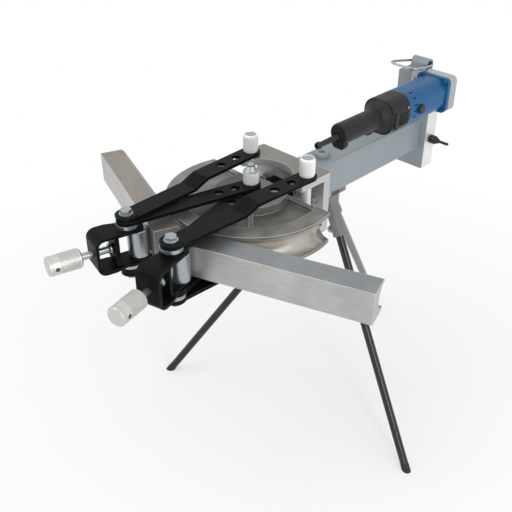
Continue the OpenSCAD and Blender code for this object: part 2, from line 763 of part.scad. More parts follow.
// A round wire along a flat line, as a ring of points about each point of the line
module wire(line, d, sides = 16) {
    last = len(line) - 1;
    function way(i) = let (v = line[min(i + 1, last)] - line[max(i - 1, 0)]) v / norm(v);
    rings = [for (i = [0:last], k = [0:sides - 1]) let (a = 360 * k / sides, t = way(i))
        [line[i].x - t.y * cos(a) * d / 2, line[i].y + t.x * cos(a) * d / 2, sin(a) * d / 2]];
    skin = [for (i = [0:last - 1], k = [0:sides - 1]) let (n = (k + 1) % sides)
        [i * sides + k, i * sides + n, (i + 1) * sides + n, (i + 1) * sides + k]];
    ends = [[for (k = [sides - 1:-1:0]) k], [for (k = [0:sides - 1]) last * sides + k]];
    polyhedron(rings, concat(skin, ends));
}

module bail_handle() placed() color(zinc) translate([bail_x, bail_y, bail_z]) rotate([0, bail_rise, 0])
    wire(bail_line, bail_d);

module release_valve() placed() color(black_steel)
    translate([valve_x, block_near_y, valve_z]) rotate([90, 0, 0])
    turned([[0, past - valve_deep], [valve_d / 2, past - valve_deep], [valve_d / 2, valve_gap],
        [valve_knob_r - 1, valve_gap], [valve_knob_r, valve_gap + 1], [valve_knob_r, valve_knob_l],
        [valve_stem_r + 3, valve_knob_l + 10], [valve_stem_r, valve_knob_l + 16], [valve_stem_r, valve_l - 2],
        [valve_stem_r - 1, valve_l], [0, valve_l]]);

// Motor drive

module gear_case() placed() color(zinc) difference() {
    x_block(gear_x, block_x, [case_near_y, motor_up - case_h / 2], [case_far_y, case_top_z], 14);
    // The gear space, which the motor flange closes, and the way through for the eccentric shaft
    for (g = [[motor_y, pinion_room_r], [eccentric_y, wheel_room_r]])
        translate([gear_x - past, g.x, motor_up]) along_x()
            cylinder(r = g.y, h = gear_case_l - case_wall + past);
    translate([gear_x, eccentric_y, motor_up]) along_x()
        cylinder(d = shaft_d + 2 * run, h = gear_case_l + past);
    for (z = case_screw_z) translate([gear_x - past, case_screw_y, z]) along_x()
        cylinder(d = case_screw_d, h = gear_case_l + 2 * past);
    flange_screw_places() cylinder(d = flange_screw_d, h = flange_screw_l);
}

pinion_room_r = gear_module * pinion_teeth / 2 + 4;
wheel_room_r = gear_module * wheel_teeth / 2 + 2;

// Screws that hold the gear case on the pump block's front
module case_screws() placed() color(zinc) for (z = case_screw_z) translate([gear_x, case_screw_y, z]) {
    translate([-5, 0, 0]) along_x() bevelled(12, 5, 0.8);
    translate([-past, 0, 0]) along_x()
        cylinder(d = case_screw_d - 2 * close, h = gear_case_l + case_screw_deep - 2);
}

// Outline of a small gear with straight-sided teeth, one tooth on the +x side
module gear_outline(teeth) {
    r = gear_module * teeth / 2;
    half = 0.8 * r * sin(90 / teeth);
    root = r - 1.15 * gear_module;
    tip = r + 0.8 * gear_module;
    circle(r = root);
    for (i = [0:teeth - 1]) rotate(i * 360 / teeth) polygon([[root - 0.3, -half - 0.3], [tip, -half * 0.5],
        [tip, half * 0.5], [root - 0.3, half + 0.3]]);
}

pinion_x = gear_x + 5;
gear_w = 12;

module eccentric_shaft() placed() color(bright_steel) translate([0, eccentric_y, motor_up]) {
    translate([gear_x + 2, 0, 0]) along_x() cylinder(d = shaft_d, h = gear_case_l + block_t - 8);
    // The wheel has a gap towards the pinion
    translate([pinion_x, 0, 0]) rotate([90, 0, 90]) linear_extrude(gear_w)
        rotate(180 + 180 / wheel_teeth) gear_outline(wheel_teeth);
    translate([cam_mid_x - 8, 0, -cam_throw]) along_x() cylinder(d = cam_d, h = 16);
}

module pump_plunger() placed() color(bright_steel)
    translate([cam_mid_x, eccentric_y, plunger_top - plunger_l]) cylinder(d = plunger_d, h = plunger_l);

// Motor housing: a rounded square shell with a bearing seat at each end and a square flange at the front
seat_l = 14;
brush_x = 43;
brush_d = 22;
shell_r = 34;
slot_x = 17;
slot_l = 12;
slot_w = 3;
screw_pitch = 76;
flange_screw_d = 6;
flange_screw_l = 20;

// The flange's four screws, from the flange's front face
module flange_screw_places() translate([gear_x - flange_t, motor_y, motor_up])
    for (s = [-1, 1], t = [-1, 1]) translate([0, s * screw_pitch / 2, t * screw_pitch / 2])
        along_x() children();

// A length of the motor's rounded square section, from x0 to x1 along its axis
module motor_section(x0, x1)
    x_block(x0, x1, [-motor_d / 2, -motor_d / 2], [motor_d / 2, motor_d / 2], shell_r);

module motor_housing() placed() color(motor_blue) difference() {
    translate([motor_x, motor_y, motor_up]) difference() {
        union() {
            motor_section(0, motor_l + past);
            x_block(motor_l, motor_l + flange_t,
                [-flange_w / 2, -case_h / 2], [flange_w / 2, case_h / 2], 14);
        }
        translate([seat_l, 0, 0]) along_x() cylinder(d = motor_d - 2 * shell_t, h = motor_l - seat_l);
        translate([-past, 0, 0]) along_x() cylinder(d = bearing_d, h = motor_l + flange_t + 2 * past);
        // Cooling slots round the rear of the shell
        for (a = [-60:20:60], s = [0, 180]) rotate([a + s, 0, 0])
            translate([slot_x, motor_d / 4, -slot_w / 2]) cube([slot_l, motor_d / 2, slot_w]);
        for (s = [-1, 1]) translate([brush_x, s * (motor_d / 2 - shell_t - past), 0]) rotate([s * -90, 0, 0])
            cylinder(d = brush_d, h = 3 * shell_t);
    }
    flange_screw_places() cylinder(d = flange_screw_d, h = flange_screw_l);
}

module flange_screws() placed() color(zinc) flange_screw_places() {
    translate([0, 0, -6]) cylinder(d = 10, h = 6);
    translate([0, 0, -past]) cylinder(d = flange_screw_d - 2 * close, h = flange_screw_l);
}

module brush_caps() placed() color(black_plastic) translate([motor_x + brush_x, motor_y, motor_up])
    for (s = [-1, 1]) rotate([s * -90, 0, 0]) translate([0, 0, motor_d / 2 - shell_t]) {
        cylinder(d = brush_d - 2 * close, h = shell_t + 2);
        translate([0, 0, shell_t + 1]) bevelled(brush_d + 3, 5, 1.2);
    }

core_x = 60;
core_l = 54;
core_d = 49;
fan_x = core_x + core_l + 5;
fan_l = 13;
commutator_d = 28;
commutator_l = 20;
fan_d = 70;

module stator() placed() color(cast_grey)
    translate([motor_x + core_x, motor_y, motor_up]) along_x() difference() {
        cylinder(d = motor_d - 2 * shell_t - 2 * close, h = core_l);
        translate([0, 0, -past]) cylinder(d = core_d + 2, h = core_l + 2 * past);
    }

module armature() placed() color(copper) translate([motor_x, motor_y, motor_up]) {
    translate([-8, 0, 0]) along_x() cylinder(d = shaft_d, h = pinion_x + gear_w - motor_x + 8);
    translate([core_x, 0, 0]) along_x() cylinder(d = core_d, h = core_l);
    translate([brush_x - commutator_l / 2, 0, 0]) along_x() cylinder(d = commutator_d, h = commutator_l);
    translate([fan_x, 0, 0]) along_x() cylinder(d = fan_d, h = 4);
    for (a = [0:45:315]) translate([fan_x, 0, 0]) rotate([a, 0, 0]) translate([0, 12, -1])
        cube([fan_l, fan_d / 2 - 13, 2]);
    translate([pinion_x - motor_x, 0, 0]) rotate([90, 0, 90])
        linear_extrude(gear_w) gear_outline(pinion_teeth);
}

module bearings() placed() color(bright_steel) translate([motor_x, motor_y, motor_up])
    for (x = [1, motor_l]) translate([x, 0, 0]) along_x() difference() {
        cylinder(d = bearing_d - 2 * close, h = bearing_w - 1);
        translate([0, 0, -past]) cylinder(d = shaft_d + 2 * run, h = bearing_w + past);
    }

// Rear housing: the switch housing draws in to the grip, which ends in a lip that hangs down
grip_wall = 5;
neck_l = 16;
rear_wall = 6;
sleeve_d = 15;
sleeve_drop = 4;
lip_t = 15;
lip_w = 38;
lip_drop = 36;
trigger_x = grip_x + 96;
trigger_l = 38;
trigger_w = 12;
trigger_drop = 9;
trigger_r = 32;
trigger_in = 12;

module rear_housing() placed() color(black_plastic) translate([grip_x, motor_y, motor_up]) difference() {
    union() {
        along_x() turned([[0, 0], [grip_d / 2 - 4, 0], [grip_d / 2, 4], [grip_d / 2, grip_l],
            [motor_d / 2 - rear_wall, grip_l + neck_l - 4], [motor_d / 2, grip_l + neck_l],
            [motor_d / 2, grip_l + rear_l], [0, grip_l + rear_l]]);
        motor_section(grip_l + neck_l, grip_l + rear_l);
        x_block(2, lip_t, [-lip_w / 2, -lip_drop], [lip_w / 2, 0], 12);
    }
    translate([lip_t, 0, 0]) along_x() cylinder(d = grip_d - 2 * grip_wall, h = grip_l + neck_l);
    translate([grip_l + neck_l + rear_wall, 0, 0]) along_x()
        cylinder(d = motor_d - 3 * rear_wall, h = rear_l);
    translate([-past, 0, -sleeve_drop]) along_x() cylinder(d = sleeve_d, h = lip_t + 2 * past);
    translate([trigger_x - grip_x - 1, -trigger_w / 2 - 0.5, -grip_d])
        cube([trigger_l + 2, trigger_w + 1, grip_d - 4]);
}

module trigger() placed() color(black_plastic)
    translate([trigger_x, motor_y + trigger_w / 2, motor_up - grip_d / 2])
    rotate([90, 0, 0]) linear_extrude(trigger_w)
        polygon(concat([[0, trigger_in], [0, -2]],
            arc([trigger_l / 2, trigger_r - trigger_drop], trigger_r, 240, 300, 10),
            [[trigger_l, -2], [trigger_l, trigger_in]]));

sleeve_l = 76;
cord_d = 9;
collar_d = sleeve_d + 7;

module cord_sleeve() placed() color(rubber_black) translate([grip_x, motor_y, motor_up - sleeve_drop])
    rotate([0, -90, 0]) difference() {
        turned([[0, -lip_t - 5], [collar_d / 2, -lip_t - 5], [collar_d / 2, -lip_t],
            [sleeve_d / 2 - close, -lip_t], [sleeve_d / 2 - close, 0], [sleeve_d / 2 - 1.5, sleeve_l - 14],
            [sleeve_d / 2 + 1, sleeve_l - 10], [sleeve_d / 2 + 1, sleeve_l - 3], [sleeve_d / 2 - 1, sleeve_l],
            [0, sleeve_l]]);
        translate([0, 0, -lip_t - 20]) cylinder(d = cord_d, h = sleeve_l + lip_t + 40);
    }

// Tripod

// Frame of a leg: z runs from the apex down along the leg
module leg_frame(i) translate(apex) rotate([0, 0, leg_angles[i]]) rotate([0, 180 - leg_lean, 0]) children();

bracket_d = 72;
bracket_h = 50;
socket_from = 30;
socket_to = leg_start + socket_grip;
lock_at = leg_start + socket_grip * 0.62;
lock_d = 8;
lock_knob_d = 20;
lock_knob_l = 12;
lock_boss_d = 18;

module leg_bracket() placed() color(paint_grey) difference() {
    union() {
        z_block([apex.x - 60, -body_w / 2 + 2], [apex.x + 60, body_w / 2 - 2],
            -body_h / 2 - 12, -body_h / 2, 10);
        translate([apex.x, apex.y, -body_h / 2 - bracket_h]) cylinder(d = bracket_d, h = bracket_h - past);
        for (i = [0:2]) leg_frame(i) {
            translate([0, 0, socket_from]) cylinder(d = socket_d, h = socket_to - socket_from);
            translate([0, 0, lock_at]) along_x() cylinder(d = lock_boss_d, h = socket_d / 2 + 6);
        }
    }
    for (i = [0:2]) leg_frame(i) {
        translate([0, 0, leg_start]) cylinder(d = leg_d + 2 * run, h = leg_run);
        translate([0, 0, lock_at]) along_x() cylinder(d = lock_d, h = socket_d);
    }
    translate([apex.x - socket_to, apex.y - socket_to, -body_h / 2]) cube(2 * socket_to);
}

module leg(i) placed() color(i == 2 ? paint_grey : black_steel) leg_frame(i) difference() {
    translate([0, 0, leg_start]) cylinder(d = leg_d, h = leg_run - leg_start - foot_l);
    translate([0, 0, leg_start + leg_wall]) cylinder(d = bore_in_leg, h = leg_run);
}
module leg_left() leg(0);
module leg_right() leg(1);
module leg_rear() leg(2);

module leg_lock_screws() placed() color(zinc) for (i = [0:2])
    leg_frame(i) translate([0, 0, lock_at]) along_x() {
        translate([0, 0, leg_d / 2 + run])
            cylinder(d = lock_d - 2 * close, h = socket_d / 2 + lock_knob_l - leg_d / 2);
        translate([0, 0, socket_d / 2 + 8]) bevelled(lock_knob_d, lock_knob_l, 1.5);
    }

// Rubber feet, plugged into the legs and cut flat by the floor
module foot_caps() placed() color(rubber_black) for (i = [0:2]) difference() {
    leg_frame(i) translate([0, 0, leg_run - foot_l]) {
        cylinder(d = foot_d, h = 2 * foot_l);
        translate([0, 0, -plug_l]) cylinder(d = bore_in_leg - 2 * close, h = plug_l + past);
    }
    translate([-2 * leg_reach, -2 * leg_reach, -axis_h - leg_reach])
        cube([4 * leg_reach, 4 * leg_reach, leg_reach]);
}

cylinder_body();
back_plate();
bending_head();
head_bolts();
rod_gland();
filler_plug();
ram_rod();
piston();
piston_seal();
pusher_block();
bending_shoe();
shoe_pin();
head_pin_left();
head_pin_right();
outer_arms_left();
outer_arms_right();
inner_arms_left();
inner_arms_right();
clevis_left();
clevis_right();
clevis_bolts_left();
clevis_bolts_right();
bolt_washers_left();
bolt_washers_right();
yoke_left();
yoke_right();
roller_pin_left();
roller_pin_right();
roller_left();
roller_right();
screw_left();
screw_right();
knob_left();
knob_right();
follow_bar_left();
follow_bar_right();
pump_block();
block_bolts();
bail_lug();
bail_handle();
release_valve();
pump_plunger();
gear_case();
case_screws();
eccentric_shaft();
motor_housing();
flange_screws();
brush_caps();
stator();
armature();
bearings();
rear_housing();
trigger();
cord_sleeve();
leg_bracket();
leg_left();
leg_right();
leg_rear();
leg_lock_screws();
foot_caps();
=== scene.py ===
import json
import math

import bmesh
import bpy
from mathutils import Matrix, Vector


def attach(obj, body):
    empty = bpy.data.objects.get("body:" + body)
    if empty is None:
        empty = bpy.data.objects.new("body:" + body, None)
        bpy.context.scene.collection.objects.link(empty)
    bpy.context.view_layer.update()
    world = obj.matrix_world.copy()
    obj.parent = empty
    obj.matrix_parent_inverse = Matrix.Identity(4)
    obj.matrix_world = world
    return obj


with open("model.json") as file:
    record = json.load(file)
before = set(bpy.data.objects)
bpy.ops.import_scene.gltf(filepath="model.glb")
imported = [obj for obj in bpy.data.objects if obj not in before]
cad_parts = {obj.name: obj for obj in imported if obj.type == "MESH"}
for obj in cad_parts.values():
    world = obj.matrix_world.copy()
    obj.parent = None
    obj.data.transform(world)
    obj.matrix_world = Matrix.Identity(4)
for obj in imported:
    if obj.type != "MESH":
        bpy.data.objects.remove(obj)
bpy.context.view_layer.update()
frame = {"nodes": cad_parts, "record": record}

X = Vector((1, 0, 0))
Y = Vector((0, 1, 0))
Z = Vector((0, 0, 1))
JOINTS = {joint["name"]: joint for joint in frame["record"]["behaviour"]["joints"]}

# The shoe pin at rest, and how far along X it lies from the head's back face, in millimetres
SHOE_PIN = Vector(JOINTS["wing_left_swing"]["pos_m"])
SHOE_PIN_X = -153


def row(x, y, z):
    """A point in millimetres from the ram axis at the head's back face, in the row frame in metres."""
    return SHOE_PIN + Vector((x - SHOE_PIN_X, y, z)) / 1000


ORIGIN = row(0, 0, 0)


def reach(node, base, along):
    """How far a node's mesh reaches along a line, in millimetres from the line's base."""
    obj = frame["nodes"][node]
    ways = [(obj.matrix_world @ v.co - base).dot(along) * 1000 for v in obj.data.vertices]
    return min(ways), max(ways)


def srgb(r, g, b):
    """A colour written from 0 to 255, as a linear colour."""
    out = []
    for c in (r, g, b):
        c /= 255
        out.append(c / 12.92 if c <= 0.04045 else ((c + 0.055) / 1.055) ** 2.4)
    return (*out, 1)


def shade(color, amount):
    """A colour made darker or lighter."""
    return (*(min(1, c * amount) for c in color[:3]), 1)


# Materials

# Cosines between a rounded edge's normal and its face's own: the edge is painted fully light, as highlight
# and as rubbed metal, at the first, and not at all at the second
HIGHLIGHT_AND_WEAR_RANGE = (0.88, 0.985)
# How many times longer the grain of milled and of drawn metal is along its axis
MILLED = (1, 1, 16)
DRAWN = (24, 1, 1)
# The shoe's groove in metres: the radius where it starts, half its height, and how softly both ends blend
GROOVE_R = 0.165
GROOVE_HALF = 0.0303
R_BLEND = 0.0005
Z_BLEND = 0.0003
STAIN_REACH = 0.05
PAINT_GREY = srgb(140, 149, 153)


class Graph:
    """A material's node tree, with short names for the nodes used here."""

    def __init__(self, name):
        self.mat = bpy.data.materials.new(name)
        self.mat.use_nodes = True
        self.tree = self.mat.node_tree
        self.shader = self.tree.nodes["Principled BSDF"]
        self.coords = self.tree.nodes.new("ShaderNodeTexCoord").outputs["Object"]

    def add(self, kind, **settings):
        """A new node with its settings."""
        node = self.tree.nodes.new(kind)
        for key, value in settings.items():
            setattr(node, key, value)
        return node

    def join(self, a, b):
        self.tree.links.new(a, b)

    def put(self, socket, value):
        """Sets a socket to a value, or joins another socket to it."""
        if isinstance(value, bpy.types.NodeSocket):
            self.join(value, socket)
        else:
            socket.default_value = value

    def math(self, operation, a, b=0.0):
        """The result of one math node."""
        node = self.add("ShaderNodeMath", operation=operation)
        self.put(node.inputs[0], a)
        self.put(node.inputs[1], b)
        return node.outputs[0]

    def distance(self, x, y):
        """The distance from an axis, by X and Y from it."""
        return self.math("SQRT", self.math("ADD", self.math("MULTIPLY", x, x), self.math("MULTIPLY", y, y)))

    def noise(self, scale, detail, stretch=(1, 1, 1), turn=0.0):
        """Noise that is drawn out along the axes, after they are turned about Z."""
        mapping = self.add("ShaderNodeMapping", vector_type="TEXTURE")
        mapping.inputs["Rotation"].default_value = (0, 0, turn)
        mapping.inputs["Scale"].default_value = stretch
        self.join(self.coords, mapping.inputs["Vector"])
        node = self.add("ShaderNodeTexNoise")
        node.inputs["Scale"].default_value = scale
        node.inputs["Detail"].default_value = detail
        self.join(mapping.outputs["Vector"], node.inputs["Vector"])
        return node.outputs["Fac"]

    def spread(self, value, low, high, to_low, to_high):
        """Maps one range of values to another, and holds its ends."""
        node = self.add("ShaderNodeMapRange", clamp=True)
        self.put(node.inputs["Value"], value)
        for key, v in (("From Min", low), ("From Max", high), ("To Min", to_low), ("To Max", to_high)):
            node.inputs[key].default_value = v
        return node.outputs["Result"]

    def patches(self):
        """0 to 1 in large soft patches."""
        return self.spread(self.noise(9, 5), 0.3, 0.7, 0, 1)

    def mix(self, factor, a, b):
        """One colour where the factor is 0, and the other where it is 1."""
        node = self.add("ShaderNodeMix", data_type="RGBA")
        self.put(node.inputs["Factor"], factor)
        sockets = [s for s in node.inputs if s.type == "RGBA"]
        self.put(sockets[0], a)
        self.put(sockets[1], b)
        return next(s for s in node.outputs if s.type == "RGBA")

    def bump(self, height, strength, distance=0.0006, edge=0.0007):
        """Fine relief, on normals that run softly round each edge."""
        soft = self.add("ShaderNodeBevel", samples=4)
        soft.inputs["Radius"].default_value = edge
        node = self.add("ShaderNodeBump")
        node.inputs["Strength"].default_value = strength
        node.inputs["Distance"].default_value = distance
        self.join(height, node.inputs["Height"])
        self.join(soft.outputs["Normal"], node.inputs["Normal"])
        self.join(node.outputs["Normal"], self.shader.inputs["Normal"])

    def edge_highlight_and_wear(self, color, width, highlight_and_wear_colour, amount):
        """A colour that turns to the given edge colour along the edges of a piece: a painted highlight, and
        rubbed edges too.
        """
        soft = self.add("ShaderNodeBevel", samples=8)
        soft.inputs["Radius"].default_value = width
        dot = self.add("ShaderNodeVectorMath", operation="DOT_PRODUCT")
        self.join(soft.outputs["Normal"], dot.inputs[0])
        self.join(self.add("ShaderNodeNewGeometry").outputs["True Normal"], dot.inputs[1])
        # Painted highlight along the edges, which also stands for rubbed edges
        edge = self.spread(dot.outputs["Value"], *HIGHLIGHT_AND_WEAR_RANGE, amount, 0)
        self.join(self.mix(edge, color, highlight_and_wear_colour), self.shader.inputs["Base Color"])

    def parts(self, vector):
        """The X, Y and Z of a vector."""
        node = self.add("ShaderNodeSeparateXYZ")
        self.join(vector, node.inputs[0])
        return node.outputs

    def facing_up(self):
        """1 on faces that look up, and 0 on upright faces."""
        geometry = self.add("ShaderNodeNewGeometry")
        return self.spread(self.parts(geometry.outputs["True Normal"])[2], 0.4, 0.8, 0, 1)


def plain(name, color, rough, metal=0.0, vary=0.1, grain=400, depth=0.15, shine=0.5):
    """One colour with soft patches, uneven gloss and a fine grain."""
    g = Graph(name)
    tone = g.patches()
    g.join(g.mix(tone, shade(color, 1 - vary), shade(color, 1 + vary)), g.shader.inputs["Base Color"])
    fine = g.noise(grain, 3)
    g.join(g.spread(fine, 0.25, 0.75, rough * 0.8, rough * 1.2), g.shader.inputs["Roughness"])
    g.shader.inputs["Metallic"].default_value = metal
    g.shader.inputs["Specular IOR Level"].default_value = shine
    g.bump(fine, depth)
    return g.mat


def machined(name, tops, sides):
    """Milled alloy, brownish grey: tops painted darker than the upright faces as shade, and edges painted
    light as highlight and rubbed metal.
    """
    g = Graph(name)
    fine = g.noise(700, 3, MILLED)
    tone = g.patches()
    # Painted shade: the tops take a darker copy of the alloy than the upright faces
    upper = g.mix(tone, shade(tops, 0.9), shade(tops, 1.1))
    upright = g.mix(tone, shade(sides, 0.92), shade(sides, 1.08))
    # Painted highlight, with rubbed metal, along the edges
    g.edge_highlight_and_wear(g.mix(g.facing_up(), upright, upper), 0.0022, srgb(226, 226, 223), 0.85)
    g.shader.inputs["Metallic"].default_value = 0.7
    g.join(g.spread(fine, 0.25, 0.75, 0.34, 0.48), g.shader.inputs["Roughness"])
    g.bump(fine, 0.12)
    return g.mat


def knurled(name, groove, ridge, metal):
    """Bright turned heads, with the grooves between the ridges painted darker as shade."""
    g = Graph(name)
    # Painted shade: the grooves, where Pointiness is low, take the darker first colour
    height = g.spread(g.add("ShaderNodeNewGeometry").outputs["Pointiness"], 0.44, 0.52, 0, 1)
    g.join(g.mix(height, groove, ridge), g.shader.inputs["Base Color"])
    g.shader.inputs["Metallic"].default_value = metal
    g.shader.inputs["Roughness"].default_value = 0.38
    g.bump(g.noise(700, 3), 0.05, edge=0.0001)
    return g.mat


def shoe_metal():
    """Grey casting with a rubbed bright groove, brown tints at the ends of the groove, and edges painted
    light as highlight and rubbed metal.
    """
    g = Graph("cast_shoe")
    x, y, z = g.parts(g.coords)
    dx = g.math("SUBTRACT", x, SHOE_PIN.x)
    dy = g.math("SUBTRACT", y, SHOE_PIN.y)
    dz = g.math("ABSOLUTE", g.math("SUBTRACT", z, SHOE_PIN.z))
    outside = g.spread(g.distance(dx, dy), GROOVE_R - R_BLEND, GROOVE_R + R_BLEND, 0, 1)
    inside = g.spread(dz, GROOVE_HALF - Z_BLEND, GROOVE_HALF + Z_BLEND, 1, 0)
    groove = g.math("MULTIPLY", outside, inside)
    cloud = g.noise(22, 6)
    casting = g.mix(g.spread(cloud, 0.3, 0.7, 0, 1), srgb(112, 111, 107), srgb(148, 147, 143))
    bright = g.mix(g.spread(cloud, 0.3, 0.75, 0, 1), srgb(190, 187, 180), srgb(160, 154, 143))
    surface = g.mix(groove, casting, bright)
    end = g.spread(dx, 0, STAIN_REACH, 0, 1)
    stain = g.spread(g.noise(45, 5), 0.42, 0.58, 0.15, 0.85)
    tint = g.math("MULTIPLY", groove, g.math("MULTIPLY", end, stain))
    # Painted highlight, with rubbed metal, along the edges
    g.edge_highlight_and_wear(g.mix(tint, surface, srgb(92, 70, 52)), 0.002, srgb(226, 223, 214), 0.95)
    g.shader.inputs["Metallic"].default_value = 0.6
    g.join(g.spread(groove, 0, 1, 0.5, 0.3), g.shader.inputs["Roughness"])
    g.bump(g.noise(420, 4), 0.35, edge=0.0015)
    return g.mat


def bar_metal(side, top_low, top_high):
    """Sawn alloy with streaks along the bar: tops painted darker than the sides as shade, and edges painted
    light as highlight and rubbed metal.
    """
    along = Vector(JOINTS[f"bar_{side}_slide"]["axis"])
    g = Graph(f"bar_alloy_{side}")
    turn = math.atan2(along.y, along.x)
    streaks = g.noise(700, 3, DRAWN, turn)
    blend = g.math("ADD", g.math("MULTIPLY", streaks, 0.6), g.math("MULTIPLY", g.noise(14, 3), 0.4))
    tone = g.spread(blend, 0.35, 0.65, 0, 1)
    sides = g.mix(tone, srgb(164, 164, 162), srgb(190, 190, 188))
    # Painted shade: the tops take darker colours than the sides
    tops = g.mix(tone, top_low, top_high)
    # Painted highlight, with rubbed metal, along the edges
    g.edge_highlight_and_wear(g.mix(g.facing_up(), sides, tops), 0.0018, srgb(236, 236, 233), 0.8)
    g.shader.inputs["Metallic"].default_value = 0.8
    g.join(g.spread(streaks, 0.25, 0.75, 0.32, 0.46), g.shader.inputs["Roughness"])
    g.bump(streaks, 0.1, edge=0.0015)
    return g.mat


def black_paint(name, rough, shine):
    """Black paint with a slight orange peel, a few dull rub marks, and edges painted lighter as highlight
    and rubbed paint.
    """
    g = Graph(name)
    rub = g.spread(g.noise(38, 8), 0.58, 0.75, 0, 1)
    # Painted highlight, with rubbed paint, along the edges
    g.edge_highlight_and_wear(g.mix(rub, srgb(14, 15, 17), srgb(32, 34, 36)), 0.0012, srgb(84, 86, 88), 0.5)
    g.join(g.spread(rub, 0, 1, rough, rough + 0.15), g.shader.inputs["Roughness"])
    g.shader.inputs["Specular IOR Level"].default_value = shine
    g.bump(g.noise(260, 2), 0.12, edge=0.0012)
    return g.mat


def bare_side(name, paint, bare):
    """Grey paint, but for the milled face on the valve's side, which is left bare."""
    g = Graph(name)
    across = g.parts(g.add("ShaderNodeNewGeometry").outputs["True Normal"])[1]
    milled = g.spread(across, -0.98, -0.9, 1, 0)
    tone = g.patches()
    painted = g.mix(tone, shade(paint, 0.96), shade(paint, 1.04))
    metal = g.mix(tone, shade(bare, 0.93), shade(bare, 1.05))
    g.join(g.mix(milled, painted, metal), g.shader.inputs["Base Color"])
    g.join(g.math("MULTIPLY", milled, 0.5), g.shader.inputs["Metallic"])
    g.shader.inputs["Roughness"].default_value = 0.42
    g.bump(g.noise(300, 3), 0.08)
    return g.mat


# One finish for each material slot of the record
MATERIALS = {
    "grey_paint": plain("grey_paint", PAINT_GREY, 0.42, vary=0.04, grain=300, depth=0.08),
    "machined_alloy": machined("machined_alloy", srgb(137, 134, 129), srgb(188, 189, 188)),
    # The bar's last two colours are its tops, darker than its sides as painted shade
    "bar_alloy": bar_metal("left", srgb(134, 127, 121), srgb(156, 149, 142)),
    "cast_shoe": shoe_metal(),
    "zinc": plain("zinc", srgb(162, 168, 171), 0.3, 0.9, 0.06, 500, 0.02),
    "bright_steel": plain("bright_steel", srgb(196, 197, 199), 0.2, 1.0, 0.04, 600, 0.02),
    "dark_iron": plain("dark_iron", srgb(70, 68, 66), 0.6, 0.6),
    # The knurls' first colour is painted shade in the grooves
    "knurled": knurled("knurled", srgb(104, 104, 101), srgb(200, 201, 196), 0.75),
    "bronze": plain("bronze", srgb(176, 142, 84), 0.35, 0.9),
    "black_steel": black_paint("black_steel", 0.4, 0.06),
    "gear_alloy": plain("gear_alloy", srgb(176, 180, 183), 0.42, 0.8, 0.08, 350, 0.3),
    "blue_plastic": plain("blue_plastic", srgb(19, 86, 134), 0.38, vary=0.07, depth=0.12, shine=0.3),
    "black_plastic": plain("black_plastic", srgb(28, 28, 32), 0.5, vary=0.08, grain=900, shine=0.3),
    "rubber": plain("rubber", srgb(30, 30, 31), 0.7, vary=0.1, grain=600, depth=0.3),
}

# Finishes of single nodes that differ from their slot's
glossy_black = black_paint("black_gloss", 0.16, 0.5)
# The pin knurls' first colour is painted shade in the grooves
pin_finish = knurled("pin_knurl", srgb(164, 165, 163), srgb(242, 242, 240), 0.35)
# The right bar's last two colours are its tops, darker than its sides as painted shade
BY_NODE = {"follow_bar_right": bar_metal("right", srgb(130, 134, 136), srgb(152, 155, 157)),
           "leg_left": glossy_black, "leg_right": glossy_black, "release_valve": glossy_black,
           "flange_screws": MATERIALS["blue_plastic"], "shoe_pin": MATERIALS["zinc"],
           "leg_bracket": plain("cast_grey", srgb(116, 117, 116), 0.55, vary=0.12, grain=250, depth=0.35),
           "pump_block": bare_side("block_paint", PAINT_GREY, srgb(226, 226, 224)),
           "leg_rear": plain("leg_grey", srgb(112, 116, 118), 0.35, vary=0.05, depth=0.08),
           "head_pin_left": pin_finish, "head_pin_right": pin_finish}
for part in frame["record"]["subparts"]:
    mesh = frame["nodes"][part["node"]].data
    mesh.materials.clear()
    mesh.materials.append(BY_NODE.get(part["node"], MATERIALS[part["material_slot"]]))


# Extra pieces

def piece(name, bm, body, slot, smooth=False, finish=None):
    """A mesh in the row frame that rides on a body, with its slot's finish or one of its own."""
    mesh = bpy.data.meshes.new(name)
    bmesh.ops.recalc_face_normals(bm, faces=bm.faces)
    bm.to_mesh(mesh)
    bm.free()
    for face in mesh.polygons:
        face.use_smooth = smooth
    mesh.materials.append(finish or MATERIALS[slot])
    obj = bpy.data.objects.new(name, mesh)
    bpy.context.scene.collection.objects.link(obj)
    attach(obj, body)


def skin(bm, rings, ends=True):
    """Joins rings of points to a skin, and closes its two ends or joins them to each other."""
    made = [[bm.verts.new(p) for p in ring] for ring in rings]
    count = len(made[0])
    after = made[1:] if ends else made[1:] + made[:1]
    for a, b in zip(made, after):
        for k in range(count):
            n = (k + 1) % count
            bm.faces.new((a[k], a[n], b[n], b[k]))
    if ends:
        bm.faces.new(made[0][::-1])
        bm.faces.new(made[-1])


def turned(base, along, stations, count, radius):
    """Rings about an axis: stations are distances along it, and radius(distance, angle) gives each point."""
    side = along.orthogonal().normalized()
    up = along.cross(side)
    rings = []
    for d in stations:
        ring = []
        for k in range(count):
            a = 2 * math.pi * k / count
            r = radius(d, a) / 1000
            ring.append(base + along * d / 1000 + side * r * math.cos(a) + up * r * math.sin(a))
        rings.append(ring)
    return rings


def lathe(name, base, along, outline, body, slot, count=32, ends=True):
    """A turned piece from its outline of (distance, radius) points."""
    bm = bmesh.new()
    rings = []
    for d, r in outline:
        rings += turned(base, along, [d], count, lambda way, angle, r=r: r)
    skin(bm, rings, ends)
    piece(name, bm, body, slot)


def box(bm, low, high):
    """A block between two corners in millimetres from the ram axis."""
    corners = [row(x, y, z) for x in (low[0], high[0]) for y in (low[1], high[1]) for z in (low[2], high[2])]
    verts = [bm.verts.new(c) for c in corners]
    for face in ((0, 1, 3, 2), (4, 6, 7, 5), (0, 4, 5, 1), (2, 3, 7, 6), (0, 2, 6, 4), (1, 5, 7, 3)):
        bm.faces.new([verts[i] for i in face])


# How far the foot of a knurl stands off its turned head, in millimetres
KNURL_LIFT = 0.05


